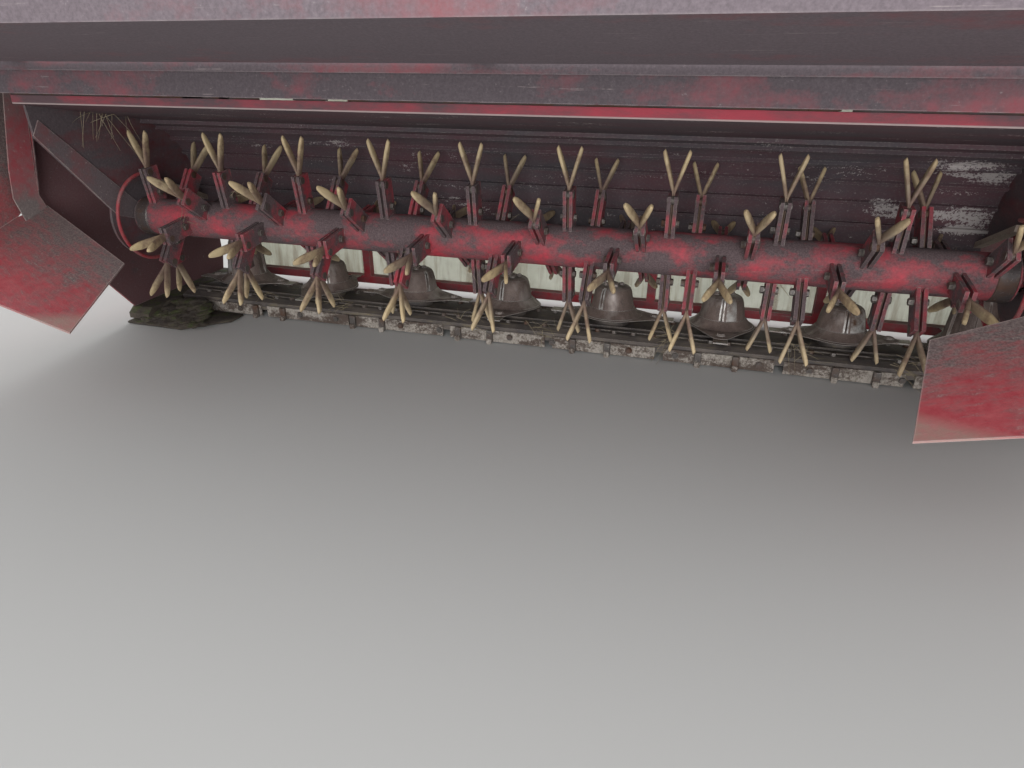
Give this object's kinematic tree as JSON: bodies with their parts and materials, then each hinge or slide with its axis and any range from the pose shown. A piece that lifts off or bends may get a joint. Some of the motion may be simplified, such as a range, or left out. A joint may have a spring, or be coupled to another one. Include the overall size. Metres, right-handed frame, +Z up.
{
  "type": "mower conditioner, mowing and conditioning unit",
  "caption": "Disc mowing unit with a forked-tine conditioning rotor under a hood, sloping swath shields, a hinged cloth front guard and a gear-driven cutterbar.",
  "frame": {"origin": "middle of the bounding box on the ground under the cutterbar", "axes": "+X to the right as seen from behind, +Y forward in the direction of travel, +Z up"},
  "size_m": [3.388, 1.8042, 1.31],
  "materials": {
    "red_paint": "faded red paint, scratched, with worn and dusty edges",
    "dark_red_paint": "dark dirty red paint, worn by the crop",
    "dark_steel": "dark steel, polished and stained by the crop",
    "worn_steel": "bare worn steel with rust specks",
    "nylon": "worn beige nylon",
    "curtain_cloth": "dirty grey green coated cloth"
  },
  "bodies": {
    "root": {"main_beam": "red_paint", "top_cover": "red_paint", "rear_beam": "dark_red_paint", "conditioner_plate": "dark_red_paint", "inner_wall_left": "dark_red_paint", "inner_wall_right": "dark_red_paint", "outer_wall_left": "red_paint", "outer_wall_right": "red_paint", "rotor_bearings": "dark_steel", "cutterbar": "dark_steel", "bar_skids": "worn_steel", "end_skids": "dark_steel", "wear_strips": "worn_steel", "gearbox": "dark_steel", "input_shaft": "worn_steel", "cross_shaft": "dark_steel", "side_gearbox": "dark_steel", "drive_column": "dark_steel", "belt_guard": "red_paint", "coupling_brackets": "red_paint", "hood_hinges": "dark_steel", "guard_hinges": "dark_steel", "shield_brackets": "dark_steel"},
    "rotor": {"rotor": "dark_red_paint", "tines": "nylon"},
    "cutting_disc_1": {"disc_1": "dark_steel", "knives_1": "worn_steel"},
    "cutting_disc_2": {"disc_2": "dark_steel", "knives_2": "worn_steel"},
    "cutting_disc_3": {"disc_3": "dark_steel", "knives_3": "worn_steel"},
    "cutting_disc_4": {"disc_4": "dark_steel", "knives_4": "worn_steel"},
    "cutting_disc_5": {"disc_5": "dark_steel", "knives_5": "worn_steel"},
    "cutting_disc_6": {"disc_6": "dark_steel", "knives_6": "worn_steel"},
    "cutting_disc_7": {"disc_7": "dark_steel", "knives_7": "worn_steel"},
    "cutting_disc_8": {"disc_8": "dark_steel", "knives_8": "worn_steel"},
    "hood": {"rear_hood": "red_paint"},
    "guard": {"guard_frame": "red_paint", "front_curtain": "curtain_cloth"},
    "left_shield": {"shield_left": "red_paint"},
    "right_shield": {"shield_right": "red_paint"}
  },
  "joints": [
    {"name": "rotor_spin", "type": "hinge", "parent": "root", "child": "rotor", "pos_m": [-0.078, 0.17785, 0.45], "axis": [1, 0, 0], "continuous": true},
    {"name": "disc_spin_1", "type": "hinge", "parent": "root", "child": "cutting_disc_1", "pos_m": [-1.4, 0.59785, 0.036], "axis": [0, 0.0698, 0.9976], "continuous": true},
    {"name": "disc_spin_2", "type": "hinge", "parent": "root", "child": "cutting_disc_2", "pos_m": [-1, 0.59785, 0.036], "axis": [0, 0.0698, 0.9976], "continuous": true},
    {"name": "disc_spin_3", "type": "hinge", "parent": "root", "child": "cutting_disc_3", "pos_m": [-0.6, 0.59785, 0.036], "axis": [0, 0.0698, 0.9976], "continuous": true},
    {"name": "disc_spin_4", "type": "hinge", "parent": "root", "child": "cutting_disc_4", "pos_m": [-0.2, 0.59785, 0.036], "axis": [0, 0.0698, 0.9976], "continuous": true},
    {"name": "disc_spin_5", "type": "hinge", "parent": "root", "child": "cutting_disc_5", "pos_m": [0.2, 0.59785, 0.036], "axis": [0, 0.0698, 0.9976], "continuous": true},
    {"name": "disc_spin_6", "type": "hinge", "parent": "root", "child": "cutting_disc_6", "pos_m": [0.6, 0.59785, 0.036], "axis": [0, 0.0698, 0.9976], "continuous": true},
    {"name": "disc_spin_7", "type": "hinge", "parent": "root", "child": "cutting_disc_7", "pos_m": [1, 0.59785, 0.036], "axis": [0, 0.0698, 0.9976], "continuous": true},
    {"name": "disc_spin_8", "type": "hinge", "parent": "root", "child": "cutting_disc_8", "pos_m": [1.4, 0.59785, 0.036], "axis": [0, 0.0698, 0.9976], "continuous": true},
    {"name": "hood_tilt", "type": "hinge", "parent": "root", "child": "hood", "pos_m": [0, -0.3021, 0.992], "axis": [1, 0, 0], "range_deg": [0, 30]},
    {"name": "guard_lift", "type": "hinge", "parent": "root", "child": "guard", "pos_m": [0, 0.84985, 0.918], "axis": [1, 0, 0], "range_deg": [0, 80]},
    {"name": "left_shield_swing", "type": "hinge", "parent": "root", "child": "left_shield", "pos_m": [-1.66, -0.07434, 0.75], "axis": [0, -0.2005, -0.9797], "range_deg": [-5, 30]},
    {"name": "right_shield_swing", "type": "hinge", "parent": "root", "child": "right_shield", "pos_m": [1.66, -0.07434, 0.75], "axis": [0, 0.2005, 0.9797], "range_deg": [-5, 30]}
  ],
  "couplings": [
    {"joint": "disc_spin_1", "follows": "rotor_spin", "ratio": 3},
    {"joint": "disc_spin_2", "follows": "rotor_spin", "ratio": -3},
    {"joint": "disc_spin_3", "follows": "rotor_spin", "ratio": 3},
    {"joint": "disc_spin_4", "follows": "rotor_spin", "ratio": -3},
    {"joint": "disc_spin_5", "follows": "rotor_spin", "ratio": 3},
    {"joint": "disc_spin_6", "follows": "rotor_spin", "ratio": -3},
    {"joint": "disc_spin_7", "follows": "rotor_spin", "ratio": 3},
    {"joint": "disc_spin_8", "follows": "rotor_spin", "ratio": -3}
  ]
}
